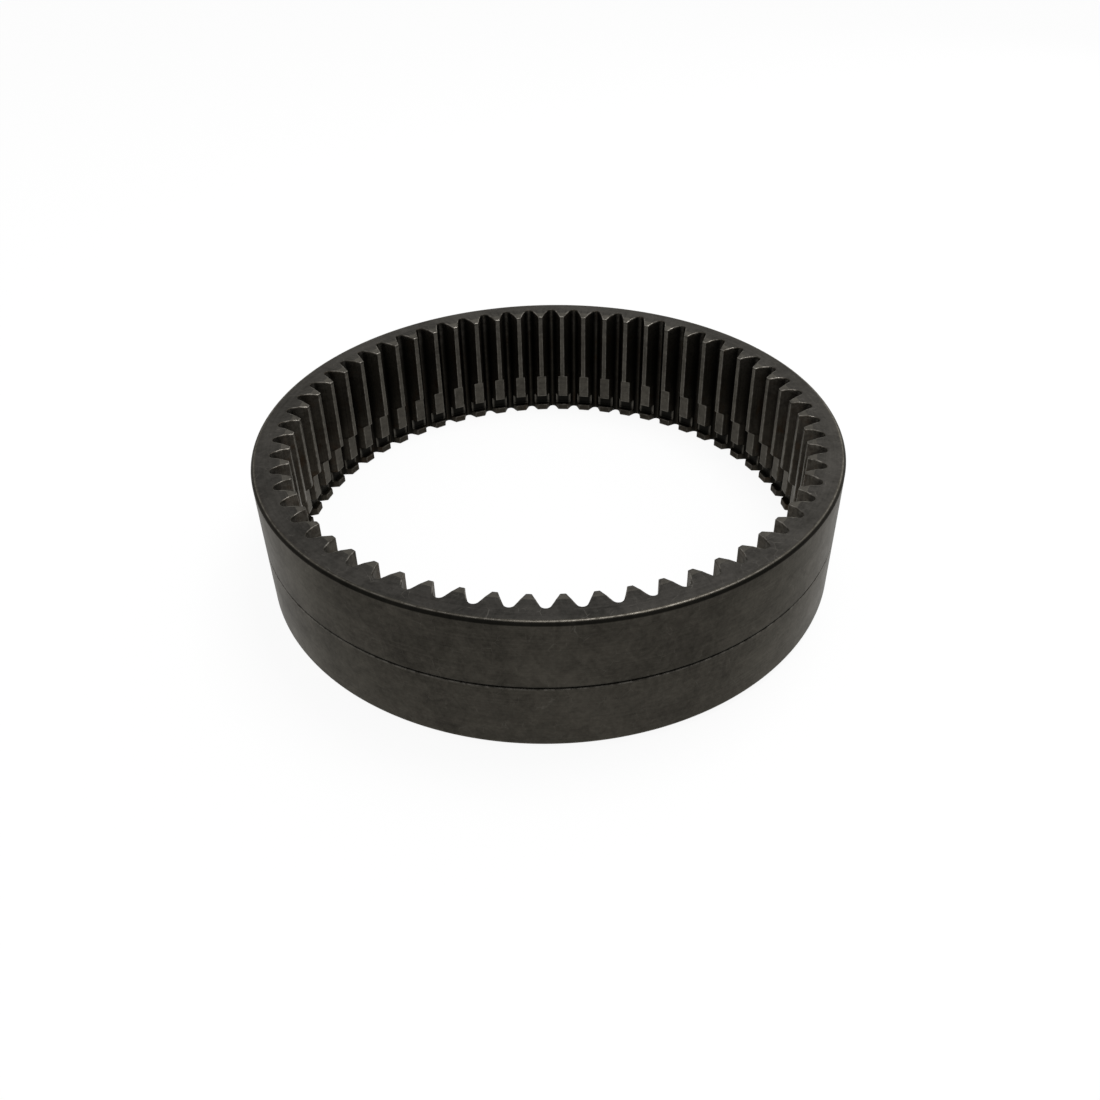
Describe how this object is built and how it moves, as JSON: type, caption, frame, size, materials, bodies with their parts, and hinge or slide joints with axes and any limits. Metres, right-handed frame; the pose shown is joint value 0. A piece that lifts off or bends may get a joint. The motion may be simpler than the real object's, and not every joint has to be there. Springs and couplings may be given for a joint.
{
  "type": "internal ring gear",
  "caption": "Internal ring gear with straight full-depth teeth, a bored-back hub seat and a snap ring groove at the foot, in dark oxide-finished steel.",
  "frame": {"origin": "centre of the bottom face, the face that the hub goes in from", "axes": "+Z along the ring axis, from the hub side up to the bevelled ends of the teeth; a tooth gap is centred on +X"},
  "size_m": [0.198, 0.198, 0.0475],
  "materials": {
    "oxide_steel": "dark oxide-finished machined steel, satin"
  },
  "bodies": {
    "root": {"ring_gear": "oxide_steel"}
  },
  "joints": []
}
